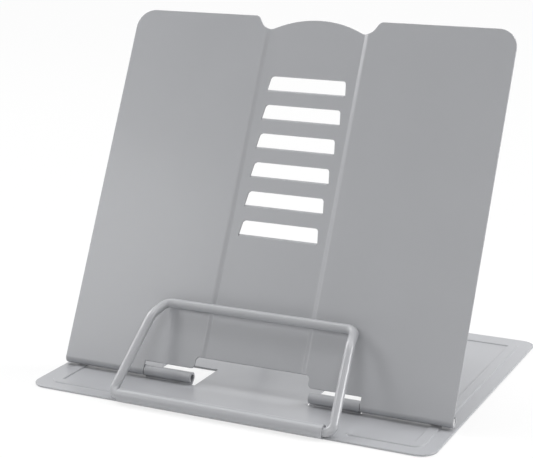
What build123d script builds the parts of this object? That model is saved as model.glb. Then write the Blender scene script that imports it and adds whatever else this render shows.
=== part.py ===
"""Folding metal book stand: a pressed base plate, a back panel hinged to it on two
pins, a wire prop behind the panel and a wire page holder in front of it.

Millimetres. X runs to the reader's right, Y away from the reader and Z up. The origin
is on the table, in the middle of the stand's footprint."""

import os
from math import atan2, cos, degrees, hypot, pi, radians, sin, tan

from build123d import *

os.makedirs("parts", exist_ok=True)

# Whole stand
stand_width = 210.0
stand_depth = 176.65
sheet = 1.0  # thickness of the base plate and of the back panel
edge_r = 0.35  # rounding of the cut edges that show
wire = 4.5  # diameter of the prop and of the page holder
pin = 3.2  # diameter of the hinge pins
curl_play = 0.08  # radial play of a wire or a pin in the curl rolled round it
cut_overrun = 5.0  # how far every cutting tool runs past the sheet

# Base plate outline
base_front_corner_r = 8.5
base_rear_corner_r = 7.5
roll_overhang = 2.65  # the rolls reach this far past the plate's cut edge
rear_recess_depth = 13.15
rear_recess_half = 47.0
rear_mouth_r = 8.0
rear_recess_r = 4.0
roll_wrap = 300.0  # degrees of curl round each wire
roll_end_gap = 0.1  # the wires run straight this far past the ends of their rolls

# Stiffening beads of the base plate
bead_width = 5.6
bead_height = 0.5
bead_wall_angle = 45.0  # slope of the bead's walls
bead_side_margin = 6.9
bead_front_margin = 7.0
bead_rear_margin = 7.8
bead_front_end = 61.0  # the front runs stop here, short of the front roll
bead_rear_end = 60.0
bead_corner_r = 5.5
bead_end_r = 2.4

# Hinge
hinge_setback = 37.5  # from the stand's front to the hinge line
hem_clearance = 0.27  # the hems clear the beads by this much
knuckle_inner = 31.8
knuckle_outer = 58.0
knuckle_side_gap = 0.3  # between a knuckle and the hem beside it
knuckle_ramp_angle = 45.0
knuckle_wrap = 285.0
hem_pin_recess = 0.3  # each pin ends this far inside its hem
knuckle_pin_recess = 3.2  # and this far inside the open end of its knuckle

# Windows left in the base plate where the knuckles were cut free
lance_inner = 30.0
lance_outer = 58.3
lance_reach = 24.5  # from the hinge line to the window's rear edge

# Back panel
panel_width = 208.0
panel_length = 188.75  # from the hinge line to the top edge
panel_angle = 64.5  # degrees above the table, with the prop in the lowest hook
panel_corner_r = 10.0
strip_recess = 1.0  # the middle strip lies this far behind the wings
crease_half = 27.0
crease_width = 2.2
crease_bend_r = 1.5  # inner radius of the bends of the creases
hem_wrap = 270.0

# Top edge of the panel: two dips with a low arch between them
dip_shoulder = 33.4
dip_bottom = 28.1
dip_drop = 8.3
dip_r = 5.5
shoulder_r = 3.0
arch_drop = 0.7  # the arch stays this far below the wings' top edge

# Foot of the panel: a tall middle notch and a low cut over each knuckle
notch_half = 30.6
notch_top = 10.35
notch_r = 2.2
knuckle_headroom = 1.65
knuckle_cut_r = 2.0

# Hook windows: a flap bent back out of each window is the hook
window_count = 6
window_pitch = 15.12
window_margin = 31.45  # from the panel's top edge down to the highest window
window_height = 7.15
window_foot_half = 21.4
window_top_half = 20.4
window_r = 2.0
flap_bend_r = 0.4
flap_angle = 42.0  # between the flap and the back of the panel
flap_length = 5.6
flap_side_gap = 0.2

# Prop wire
prop_drop = 7.8  # from the lowest window's bottom edge down to the prop's bar
prop_back_gap = 1.42  # between the back of the panel and the prop's bar
prop_bar_half = 25.0
prop_foot_half = 40.0
prop_corner_r = 4.5
foot_bend_r = 3.7  # both wires bend up out of their rolls on this radius
wire_end_gap = 1.5  # the two ends of each bent wire meet inside their roll

# Page holder wire
page_foot_half = 57.6
page_knee_half = 52.9
page_bar_half = 50.6
page_leg_length = 44.8
page_leg_angle = 45.0
page_arm_length = 12.3
page_arm_angle = 16.0
page_knee_r = 12.0
page_corner_r = 5.0

# Curls: the hems and knuckles close round the pins, the two rolls round the wires
hem_bore_r = pin / 2 + curl_play
hem_r = hem_bore_r + sheet
roll_bore_r = wire / 2 + curl_play
roll_r = roll_bore_r + sheet

# Places that follow from the sizes above
front_y = -stand_depth / 2
rear_y = stand_depth / 2
base_front_y = front_y + roll_overhang
recess_y = rear_y - rear_recess_depth - roll_overhang
front_roll_y = front_y + roll_r
rear_roll_y = rear_y - rear_recess_depth - roll_r
hinge_y = front_y + hinge_setback
hinge_z = sheet + bead_height + hem_clearance + hem_r
lean = radians(panel_angle)
hem_inner = knuckle_outer + knuckle_side_gap
hem_outer = panel_width / 2
knuckle_cut_top = hem_r + knuckle_headroom
wing_front = -hem_r
strip_front = wing_front + strip_recess
strip_back = strip_front + sheet
crease_slope = atan2(strip_recess, crease_width)
window_first = panel_length - window_margin - window_height
prop_bar_up = window_first - window_pitch * (window_count - 1) - prop_drop
prop_bar_back = strip_back + prop_back_gap + wire / 2


def side_plane(x, y, z):
    """A plane across the stand: its own x runs along +Y and its own y along +Z."""
    return Plane(origin=(x, y, z), x_dir=(0, 1, 0), z_dir=(1, 0, 0))


def on_panel(x, up, back):
    """The point at x that lies this far up the panel and this far behind the hinge."""
    y = hinge_y + up * cos(lean) + back * sin(lean)
    z = hinge_z + up * sin(lean) - back * cos(lean)
    return Vector(x, y, z)


def foot_tangent(foot_half, top_half, leg_length):
    """How far before its leg a wire starts to bend up out of its roll."""
    splay = atan2(foot_half - top_half, leg_length)
    return foot_bend_r * tan(pi / 4 + splay / 2)


# The prop's bar and the rolls, which end where the wires start to bend
prop_bar = on_panel(0, prop_bar_up, prop_bar_back)
prop_run = rear_roll_y - prop_bar.Y
prop_rise = prop_bar.Z - roll_r
prop_leg_length = hypot(prop_run, prop_rise)
prop_tangent = foot_tangent(prop_foot_half, prop_bar_half, prop_leg_length)
page_tangent = foot_tangent(page_foot_half, page_knee_half, page_leg_length)
front_roll_half = page_foot_half - page_tangent - roll_end_gap
rear_roll_half = prop_foot_half - prop_tangent - roll_end_gap


def panel_side_plane(x):
    """A plane across the panel: its own x runs backwards and its own y up the panel."""
    return Plane(origin=on_panel(x, 0, 0), x_dir=(0, sin(lean), -cos(lean)), z_dir=(1, 0, 0))


def panel_face_plane():
    """The panel's own plane through the hinge line, seen by the reader."""
    return Plane(origin=on_panel(0, 0, 0), x_dir=(1, 0, 0), z_dir=(0, -sin(lean), cos(lean)))


def panel_end_plane():
    """A plane square to the panel's length: its own y runs backwards."""
    return Plane(origin=on_panel(0, 0, 0), x_dir=(1, 0, 0), z_dir=(0, cos(lean), sin(lean)))


def bend_lines(centre, inner_r, start, turn):
    """The section of bent sheet: part of a ring from angle start through turn degrees."""
    outer = CenterArc(centre, inner_r + sheet, start, turn)
    inner = CenterArc(centre, inner_r, start, turn)
    Line(outer @ 0, inner @ 0)
    Line(outer @ 1, inner @ 1)


def on_open_rim(edge):
    """Whether an edge of the plate's outline lies clear of the two rolls."""
    middle = edge.center()
    beside_front_roll = middle.Y < 0 and abs(middle.X) > front_roll_half + roll_end_gap
    beside_rear_roll = middle.Y > 0 and abs(middle.X) > rear_roll_half + roll_end_gap
    return beside_front_roll or beside_rear_roll


def above_hems(edge):
    """Whether the middle of an edge of the panel lies above the hems."""
    return panel_face_plane().to_local_coords(edge.center()).Y > knuckle_cut_top - edge_r


def bead_corners(inset):
    """The right-hand bead's outline drawn in by inset: x, y and fillet of each corner."""
    outer_x = stand_width / 2 - bead_side_margin - inset
    inner_x = stand_width / 2 - bead_side_margin - bead_width + inset
    front_outer = base_front_y + bead_front_margin + inset
    front_inner = base_front_y + bead_front_margin + bead_width - inset
    rear_outer = rear_y - bead_rear_margin - inset
    rear_inner = rear_y - bead_rear_margin - bead_width + inset
    return [
        (bead_front_end + inset, front_outer, bead_end_r - inset),
        (outer_x, front_outer, bead_corner_r - inset),
        (outer_x, rear_outer, bead_corner_r - inset),
        (bead_rear_end + inset, rear_outer, bead_end_r - inset),
        (bead_rear_end + inset, rear_inner, bead_end_r - inset),
        (inner_x, rear_inner, 0),
        (inner_x, front_inner, 0),
        (bead_front_end + inset, front_inner, bead_end_r - inset),
    ]


def mirrored_corners(sketch, x, y):
    """The two corners of a symmetric sketch nearest to (x, y) and to (-x, y)."""
    return [sketch.vertices().sort_by_distance((side * x, y))[0] for side in (1, -1)]


def mirrored_starts(inner, outer):
    """Where two mirrored pieces, each reaching from inner to outer, start along X."""
    return (inner, -outer)


# Base plate: the flat sheet with its rear recess
stand_half = stand_width / 2
with BuildPart() as base_plate:
    with BuildSketch():
        with BuildLine():
            FilletPolyline(
                (-front_roll_half, base_front_y),
                (-stand_half, base_front_y),
                (-stand_half, rear_y),
                (-rear_recess_half, rear_y),
                (-rear_recess_half, recess_y),
                (-rear_roll_half, recess_y),
                radius=[base_front_corner_r, base_rear_corner_r, rear_mouth_r, rear_recess_r],
            )
            FilletPolyline(
                (rear_roll_half, recess_y),
                (rear_recess_half, recess_y),
                (rear_recess_half, rear_y),
                (stand_half, rear_y),
                (stand_half, base_front_y),
                (front_roll_half, base_front_y),
                radius=[rear_recess_r, rear_mouth_r, base_rear_corner_r, base_front_corner_r],
            )
            Polyline(
                (front_roll_half, base_front_y),
                (front_roll_half, front_roll_y),
                (-front_roll_half, front_roll_y),
                (-front_roll_half, base_front_y),
            )
            Polyline(
                (-rear_roll_half, recess_y),
                (-rear_roll_half, rear_roll_y),
                (rear_roll_half, rear_roll_y),
                (rear_roll_half, recess_y),
            )
        make_face()
    extrude(amount=sheet)
    fillet(base_plate.edges().filter_by(Plane.XY).filter_by(on_open_rim), radius=edge_r)

    # Front roll round the page holder and rear roll round the prop
    with BuildSketch(side_plane(-front_roll_half, front_roll_y, roll_r)):
        with BuildLine():
            bend_lines((0, 0), roll_bore_r, 270, -roll_wrap)
        make_face()
    extrude(amount=2 * front_roll_half)
    with BuildSketch(side_plane(-rear_roll_half, rear_roll_y, roll_r)):
        with BuildLine():
            bend_lines((0, 0), roll_bore_r, 270, roll_wrap)
        make_face()
    extrude(amount=2 * rear_roll_half)

    # Raised beads along the sides, turning in at the front and at the rear
    wall_run = bead_height / tan(radians(bead_wall_angle))
    hollow_inset = sheet * tan(radians(bead_wall_angle) / 2)
    for level, inset, op in ((sheet, 0, Mode.ADD), (0, hollow_inset, Mode.SUBTRACT)):
        for side in (1, -1):
            for rise, run in ((0, 0), (bead_height, wall_run)):
                with BuildSketch(Plane.XY.offset(level + rise)):
                    with BuildLine():
                        corners = bead_corners(inset + run)[::side]
                        FilletPolyline(
                            [(side * x, y) for x, y, r in corners],
                            radius=[r for x, y, r in corners],
                            close=True,
                        )
                    make_face()
            loft(ruled=True, mode=op)

    # Windows, with a knuckle curled up from the front edge of each
    ramp = radians(knuckle_ramp_angle)
    ramp_start = radians(-knuckle_ramp_angle)
    plate_top = sheet - hinge_z
    outer_run = (plate_top - sheet + hem_r * cos(ramp)) / sin(ramp)
    inner_run = (plate_top + hem_bore_r * cos(ramp)) / sin(ramp)
    outer_toe = hem_r * sin(ramp) + outer_run * cos(ramp)
    inner_toe = hem_bore_r * sin(ramp) + inner_run * cos(ramp)
    lance_width = lance_outer - lance_inner
    lance_length = lance_reach - inner_toe
    lance_middle = hinge_y + inner_toe + lance_length / 2
    with BuildSketch():
        for start in mirrored_starts(lance_inner, lance_outer):
            with Locations((start + lance_width / 2, lance_middle)):
                Rectangle(lance_width, lance_length)
    extrude(amount=sheet, mode=Mode.SUBTRACT)
    for start in mirrored_starts(knuckle_inner, knuckle_outer):
        with BuildSketch(side_plane(start, hinge_y, hinge_z)):
            with BuildLine():
                bend_lines((0, 0), hem_bore_r, -knuckle_ramp_angle, knuckle_wrap)
            make_face()
            with BuildLine():
                Polyline(
                    (hem_r * sin(ramp), -hem_r * cos(ramp)),
                    (outer_toe, plate_top - sheet),
                    (inner_toe - sheet, plate_top - sheet),
                    (inner_toe - sheet, plate_top),
                    (inner_toe, plate_top),
                    (hem_bore_r * sin(ramp), -hem_bore_r * cos(ramp)),
                    close=True,
                )
            make_face()
        extrude(amount=knuckle_outer - knuckle_inner)
base_plate.part.label = "base_plate"

# Back panel: a joggled sheet cut to its outline
crease_shift = sheet * tan(crease_slope / 2)
crease_outer = crease_half + crease_width / 2
crease_inner = crease_half - crease_width / 2
crease_bend_outer_r = crease_bend_r + sheet
front_bends = [crease_bend_outer_r, crease_bend_r, crease_bend_r, crease_bend_outer_r]
back_bends = [crease_bend_r, crease_bend_outer_r, crease_bend_outer_r, crease_bend_r]
with BuildPart() as back_panel:
    with BuildSketch(panel_end_plane()):
        with BuildLine():
            FilletPolyline(
                (hem_outer, wing_front),
                (crease_outer, wing_front),
                (crease_inner, strip_front),
                (-crease_inner, strip_front),
                (-crease_outer, wing_front),
                (-hem_outer, wing_front),
                (-hem_outer, wing_front + sheet),
                (-crease_outer - crease_shift, wing_front + sheet),
                (-crease_inner - crease_shift, strip_back),
                (crease_inner + crease_shift, strip_back),
                (crease_outer + crease_shift, wing_front + sheet),
                (hem_outer, wing_front + sheet),
                radius=[0, *front_bends, 0, 0, *back_bends, 0],
                close=True,
            )
        make_face()
    extrude(amount=panel_length)
    with BuildSketch(panel_face_plane()) as panel_outline:
        with BuildLine():
            ThreePointArc(
                (-dip_bottom, panel_length - dip_drop),
                (0, panel_length - arch_drop),
                (dip_bottom, panel_length - dip_drop),
            )
            Polyline(
                (dip_bottom, panel_length - dip_drop),
                (dip_shoulder, panel_length),
                (hem_outer, panel_length),
                (hem_outer, 0),
                (hem_inner, 0),
                (hem_inner, knuckle_cut_top),
                (notch_half, knuckle_cut_top),
                (notch_half, notch_top),
                (-notch_half, notch_top),
                (-notch_half, knuckle_cut_top),
                (-hem_inner, knuckle_cut_top),
                (-hem_inner, 0),
                (-hem_outer, 0),
                (-hem_outer, panel_length),
                (-dip_shoulder, panel_length),
                (-dip_bottom, panel_length - dip_drop),
            )
        make_face()
        fillet(mirrored_corners(panel_outline, hem_outer, panel_length), panel_corner_r)
        fillet(mirrored_corners(panel_outline, dip_shoulder, panel_length), shoulder_r)
        fillet(mirrored_corners(panel_outline, dip_bottom, panel_length - dip_drop), dip_r)
        fillet(mirrored_corners(panel_outline, notch_half, notch_top), notch_r)
        fillet(mirrored_corners(panel_outline, notch_half, knuckle_cut_top), knuckle_cut_r)
    extrude(amount=hem_r + cut_overrun, both=True, mode=Mode.INTERSECT)

    # Hems, each rolled back round its pin
    for start in mirrored_starts(hem_inner, hem_outer):
        with BuildSketch(panel_side_plane(start)):
            with BuildLine():
                bend_lines((0, 0), hem_bore_r, 180, hem_wrap)
            make_face()
        extrude(amount=hem_outer - hem_inner)

    # The outline's edges are rounded on both faces, but not the bend lines of the creases
    upward = Axis((0, 0, 0), panel_end_plane().z_dir)
    through = Axis((0, 0, 0), panel_face_plane().z_dir)
    fold_reach = crease_outer + crease_width / 2
    folds = back_panel.edges().filter_by(upward).filter_by_position(Axis.X, -fold_reach, fold_reach)
    outline_edges = back_panel.edges() - back_panel.edges().filter_by(through) - folds
    fillet(outline_edges.filter_by(above_hems), radius=edge_r)

    # Hook windows, each with a flap bent back from its bottom edge
    bend_outer_r = flap_bend_r + sheet
    flap_turn = radians(flap_angle)
    flap_foot_half = window_foot_half - flap_side_gap
    flap_tip_half = window_top_half - flap_side_gap
    for index in range(window_count):
        window_foot = window_first - window_pitch * index
        bend_up = window_foot - bend_outer_r
        with BuildSketch(panel_face_plane()):
            with BuildLine():
                FilletPolyline(
                    (-window_foot_half, bend_up),
                    (window_foot_half, bend_up),
                    (window_foot_half, window_foot),
                    (window_top_half, window_foot + window_height),
                    (-window_top_half, window_foot + window_height),
                    (-window_foot_half, window_foot),
                    radius=[0, 0, 0, window_r, window_r, 0],
                    close=True,
                )
            make_face()
        extrude(amount=hem_r + cut_overrun, both=True, mode=Mode.SUBTRACT)
        with BuildSketch(panel_side_plane(-flap_foot_half)):
            with BuildLine():
                bend_centre = (strip_back + flap_bend_r, bend_up)
                bend_lines(bend_centre, flap_bend_r, flap_angle, 180 - flap_angle)
            make_face()
        extrude(amount=2 * flap_foot_half)
        leaf_root = on_panel(
            0,
            bend_up + flap_bend_r * sin(flap_turn),
            strip_back + flap_bend_r + flap_bend_r * cos(flap_turn),
        )
        leaf_out = on_panel(0, sin(flap_turn), cos(flap_turn)) - on_panel(0, 0, 0)
        with BuildSketch(Plane(origin=leaf_root, x_dir=(1, 0, 0), z_dir=leaf_out)):
            with BuildLine():
                FilletPolyline(
                    (-flap_foot_half, 0),
                    (flap_foot_half, 0),
                    (flap_tip_half, flap_length),
                    (-flap_tip_half, flap_length),
                    radius=[0, 0, window_r, window_r],
                    close=True,
                )
            make_face()
        extrude(amount=sheet)
back_panel.part.label = "back_panel"

# Hinge pins, each running through a knuckle into the hem beside it
pin_start = knuckle_inner + knuckle_pin_recess
pin_end = hem_outer - hem_pin_recess
with BuildPart() as hinge_pin_right:
    with BuildSketch(side_plane(pin_start, hinge_y, hinge_z)):
        Circle(pin / 2)
    extrude(amount=pin_end - pin_start)
hinge_pin_right.part.label = "hinge_pin_right"

with BuildPart() as hinge_pin_left:
    with BuildSketch(side_plane(-pin_end, hinge_y, hinge_z)):
        Circle(pin / 2)
    extrude(amount=pin_end - pin_start)
hinge_pin_left.part.label = "hinge_pin_left"

# Prop: a wire frame whose bar sits under the lowest flap
with BuildPart() as support_wire:
    with BuildLine() as prop_route:
        FilletPolyline(
            (wire_end_gap / 2, rear_roll_y, roll_r),
            (prop_foot_half, rear_roll_y, roll_r),
            (prop_bar_half, prop_bar.Y, prop_bar.Z),
            (-prop_bar_half, prop_bar.Y, prop_bar.Z),
            (-prop_foot_half, rear_roll_y, roll_r),
            (-wire_end_gap / 2, rear_roll_y, roll_r),
            radius=[foot_bend_r, prop_corner_r, prop_corner_r, foot_bend_r],
        )
    with BuildSketch(side_plane(wire_end_gap / 2, rear_roll_y, roll_r)):
        Circle(wire / 2)
    sweep(path=prop_route.line)
support_wire.part.label = "support_wire"

# Page holder: a wire frame with a knee, whose bar rests on the open pages
leg_lift = radians(page_leg_angle)
arm_lift = radians(page_arm_angle)
knee_y = front_roll_y + page_leg_length * cos(leg_lift)
knee_z = roll_r + page_leg_length * sin(leg_lift)
page_bar_y = knee_y + page_arm_length * cos(arm_lift)
page_bar_z = knee_z + page_arm_length * sin(arm_lift)
with BuildPart() as page_wire:
    with BuildLine() as page_route:
        FilletPolyline(
            (wire_end_gap / 2, front_roll_y, roll_r),
            (page_foot_half, front_roll_y, roll_r),
            (page_knee_half, knee_y, knee_z),
            (page_bar_half, page_bar_y, page_bar_z),
            (-page_bar_half, page_bar_y, page_bar_z),
            (-page_knee_half, knee_y, knee_z),
            (-page_foot_half, front_roll_y, roll_r),
            (-wire_end_gap / 2, front_roll_y, roll_r),
            radius=[
                foot_bend_r,
                page_knee_r,
                page_corner_r,
                page_corner_r,
                page_knee_r,
                foot_bend_r,
            ],
        )
    with BuildSketch(side_plane(wire_end_gap / 2, front_roll_y, roll_r)):
        Circle(wire / 2)
    sweep(path=page_route.line)
page_wire.part.label = "page_wire"

# The figures that the joints use
print("hinge line", hinge_y, hinge_z)
print("front roll", front_roll_y, roll_r)
print("rear roll", rear_roll_y, roll_r)
print("prop leg", prop_leg_length, "at", degrees(atan2(prop_rise, prop_run)), "degrees")

export_step(base_plate.part, "parts/base_plate.step")
export_step(back_panel.part, "parts/back_panel.step")
export_step(hinge_pin_left.part, "parts/hinge_pin_left.step")
export_step(hinge_pin_right.part, "parts/hinge_pin_right.step")
export_step(support_wire.part, "parts/support_wire.step")
export_step(page_wire.part, "parts/page_wire.step")
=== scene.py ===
"""The looks of the folding book stand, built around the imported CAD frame.

Metres, in the frame of the CAD model: X to the reader's right, Y away from the reader
and Z up, with the table at Z = 0."""

from math import radians

import bmesh
import bpy
from mathutils import Matrix, Vector

MM = 0.001

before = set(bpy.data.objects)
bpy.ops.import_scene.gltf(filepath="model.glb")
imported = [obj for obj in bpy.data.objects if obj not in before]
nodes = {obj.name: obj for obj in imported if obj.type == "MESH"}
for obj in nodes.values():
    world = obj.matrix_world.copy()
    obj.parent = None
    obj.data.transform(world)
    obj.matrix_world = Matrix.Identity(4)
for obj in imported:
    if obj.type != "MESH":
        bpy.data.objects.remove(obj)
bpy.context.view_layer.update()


# Powder coat and steel

mottle_scale = 28.0  # blotches of a few centimetres
mottle_tint = 0.03  # the pigment strays by this share
mottle_gloss = 0.03  # and the roughness by this much
peel_scale = 900.0  # orange peel of about a millimetre
peel_height = 0.05 * MM
lacquer_roughness = 0.15


def new_material(name):
    """A material that uses nodes, with its node tree."""
    material = bpy.data.materials.new(name)
    material.use_nodes = True
    return material, material.node_tree


def object_noise(tree, place, scale, detail):
    """Noise fixed to the piece by its Object coordinates."""
    noise = tree.nodes.new("ShaderNodeTexNoise")
    noise.inputs["Scale"].default_value = scale
    noise.inputs["Detail"].default_value = detail
    tree.links.new(place.outputs["Object"], noise.inputs["Vector"])
    return noise.outputs["Fac"]


def between(tree, value, low, high):
    """Spreads a value of 0 to 1 over low to high."""
    spread = tree.nodes.new("ShaderNodeMapRange")
    spread.inputs["To Min"].default_value = low
    spread.inputs["To Max"].default_value = high
    tree.links.new(value, spread.inputs["Value"])
    return spread.outputs["Result"]


def coat(name, colour, roughness, lacquer, grain, metallic=0.0):
    """A satin finish: fine orange peel over an even pigment with a faint mottle."""
    material, tree = new_material(name)
    shader = tree.nodes["Principled BSDF"]
    shader.inputs["Metallic"].default_value = metallic
    shader.inputs["Specular IOR Level"].default_value = 0.5
    shader.inputs["Coat Weight"].default_value = lacquer
    shader.inputs["Coat Roughness"].default_value = lacquer_roughness

    place = tree.nodes.new("ShaderNodeTexCoord")
    mottle = object_noise(tree, place, mottle_scale, detail=3.0)
    tint = tree.nodes.new("ShaderNodeVectorMath")
    tint.operation = "SCALE"
    tint.inputs[0].default_value = colour
    pigment = between(tree, mottle, 1 - mottle_tint, 1 + mottle_tint)
    tree.links.new(pigment, tint.inputs["Scale"])
    tree.links.new(tint.outputs["Vector"], shader.inputs["Base Color"])
    gloss = between(tree, mottle, roughness - mottle_gloss, roughness + mottle_gloss)
    tree.links.new(gloss, shader.inputs["Roughness"])

    skin = tree.nodes.new("ShaderNodeBump")
    skin.inputs["Strength"].default_value = grain
    skin.inputs["Distance"].default_value = peel_height
    peel = object_noise(tree, place, peel_scale, detail=2.0)
    tree.links.new(peel, skin.inputs["Height"])
    tree.links.new(skin.outputs["Normal"], shader.inputs["Normal"])
    return material


base_coat = coat(
    "silver_coat_base",
    colour=(0.385, 0.391, 0.409),
    roughness=0.34,
    lacquer=0.1,
    grain=0.05,
)
# The three coats are one grey paint. The panel's copy is a shade darker than the base's
# and the wire's, and that difference is painted shade.
shaded_panel_coat = coat(
    "silver_coat_panel_painted_shade",
    colour=(0.37, 0.376, 0.393),
    roughness=0.36,
    lacquer=0.15,
    grain=0.05,
)
wire_coat = coat(
    "silver_coat_wire",
    colour=(0.39, 0.396, 0.413),
    roughness=0.30,
    lacquer=0.25,
    grain=0.08,
)
pin_steel = coat(
    "pin_steel",
    colour=(0.72, 0.72, 0.73),
    roughness=0.25,
    lacquer=0.0,
    grain=0.05,
    metallic=1.0,
)

finishes = {
    "base_plate": base_coat,
    "back_panel": shaded_panel_coat,
    "hinge_pin_left": pin_steel,
    "hinge_pin_right": pin_steel,
    "support_wire": wire_coat,
    "page_wire": wire_coat,
}
for node_name, finish in finishes.items():
    slots = nodes[node_name].data.materials
    slots.clear()
    slots.append(finish)


# Floor and white surroundings

floor_half_side = 2.5
floor_drop = 0.2 * MM  # the floor lies this far under the stand
floor_white = (0.88, 0.88, 0.88, 1.0)
plain_white = (1.0, 1.0, 1.0, 1.0)
near_reach, far_reach = 0.1, 0.35  # the glow grows between these distances
near_glow, far_glow = 0.75, 0.97
sky_light = 0.02  # what the white world gives as light


def either_of(tree, first, second):
    """One where at least one of two ray kinds applies, and zero elsewhere."""
    either = tree.nodes.new("ShaderNodeMath")
    either.operation = "MAXIMUM"
    tree.links.new(first, either.inputs[0])
    tree.links.new(second, either.inputs[1])
    return either.outputs["Value"]


def seen_directly(tree):
    """One for rays from the camera and for clear reflections, zero for diffuse light."""
    rays = tree.nodes.new("ShaderNodeLightPath").outputs
    mirrored = either_of(tree, rays["Is Glossy Ray"], rays["Is Transmission Ray"])
    return either_of(tree, rays["Is Camera Ray"], mirrored)


def white_floor(name):
    """A matt white that glows plain white where it is seen, more so farther out.

    The object's shadow stays on the matt share near the stand."""
    material, tree = new_material(name)
    tree.nodes.remove(tree.nodes["Principled BSDF"])
    matt = tree.nodes.new("ShaderNodeBsdfDiffuse")
    matt.inputs["Color"].default_value = floor_white
    glow = tree.nodes.new("ShaderNodeEmission")
    glow.inputs["Color"].default_value = plain_white

    place = tree.nodes.new("ShaderNodeTexCoord")
    reach = tree.nodes.new("ShaderNodeVectorMath")
    reach.operation = "LENGTH"
    tree.links.new(place.outputs["Object"], reach.inputs[0])
    growth = tree.nodes.new("ShaderNodeMapRange")
    growth.inputs["From Min"].default_value = near_reach
    growth.inputs["From Max"].default_value = far_reach
    growth.inputs["To Min"].default_value = near_glow
    growth.inputs["To Max"].default_value = far_glow
    tree.links.new(reach.outputs["Value"], growth.inputs["Value"])

    share = tree.nodes.new("ShaderNodeMath")
    share.operation = "MULTIPLY"
    tree.links.new(seen_directly(tree), share.inputs[0])
    tree.links.new(growth.outputs["Result"], share.inputs[1])
    blend = tree.nodes.new("ShaderNodeMixShader")
    tree.links.new(share.outputs["Value"], blend.inputs["Fac"])
    tree.links.new(matt.outputs["BSDF"], blend.inputs[1])
    tree.links.new(glow.outputs["Emission"], blend.inputs[2])
    surface = tree.nodes["Material Output"].inputs["Surface"]
    tree.links.new(blend.outputs["Shader"], surface)
    return material


floor_mesh = bpy.data.meshes.new("floor")
sheet = bmesh.new()
bmesh.ops.create_grid(sheet, x_segments=1, y_segments=1, size=floor_half_side)
bmesh.ops.translate(sheet, verts=sheet.verts, vec=(0, 0, -floor_drop))
sheet.to_mesh(floor_mesh)
sheet.free()
floor_mesh.materials.append(white_floor("floor_white"))
floor = bpy.data.objects.new("floor", floor_mesh)
bpy.context.collection.objects.link(floor)

world = bpy.data.worlds.new("studio")
world.use_nodes = True
bpy.context.scene.world = world
sky = world.node_tree
backdrop = sky.nodes["Background"]
backdrop.inputs["Color"].default_value = plain_white
sky_strength = between(sky, seen_directly(sky), sky_light, 1.0)
sky.links.new(sky_strength, backdrop.inputs["Strength"])


# Soft lamps, all facing the stand's middle

stand_middle = Vector((0, 0, 0.06))


def softbox(name, place, side, power):
    """A square lamp, with its side in metres and its power in watts."""
    light = bpy.data.lights.new(name, "AREA")
    light.energy = power
    light.size = side
    lamp = bpy.data.objects.new(name, light)
    lamp.location = place
    aim = stand_middle - Vector(place)
    lamp.rotation_euler = aim.to_track_quat("-Z", "Y").to_euler()
    bpy.context.collection.objects.link(lamp)


softbox("overhead", place=(-0.1, 0.2, 1.4), side=1.2, power=8.0)
softbox("glint", place=(0.45, 0.0, 1.3), side=0.16, power=1.9)
softbox("side_left", place=(-0.9, 0.1, 0.8), side=0.6, power=7.2)
softbox("side_right", place=(1.3, 0.45, 0.62), side=0.6, power=12.5)
softbox("back_right", place=(0.75, 0.62, 1.0), side=0.5, power=5.0)
softbox("front_left", place=(-0.5, -0.55, 0.4), side=0.25, power=0.85)
softbox("front", place=(0.1, -1.2, 0.9), side=0.6, power=3.15)
softbox("low_front", place=(0.1, -1.4, 0.5), side=0.7, power=1.6)


# Camera at the photograph's viewing angle

camera_place = (0.29027, -0.651375, 0.25272)
camera_turn = 25.191  # degrees to the left of straight ahead
camera_dip = 13.937  # degrees below the horizon
camera_roll = 0.346

camera_data = bpy.data.cameras.new("camera")
camera_data.sensor_width = 36.0
camera_data.lens = 98.165
camera_data.shift_x = 0.00198
camera_data.shift_y = -0.01213
camera_data.clip_start = 10 * MM
camera = bpy.data.objects.new("camera", camera_data)
camera.matrix_world = (
    Matrix.Translation(camera_place)
    @ Matrix.Rotation(radians(camera_turn), 4, "Z")
    @ Matrix.Rotation(radians(90 - camera_dip), 4, "X")
    @ Matrix.Rotation(radians(camera_roll), 4, "Z")
)
bpy.context.collection.objects.link(camera)
bpy.context.scene.camera = camera

bpy.context.scene.view_settings.view_transform = "Standard"
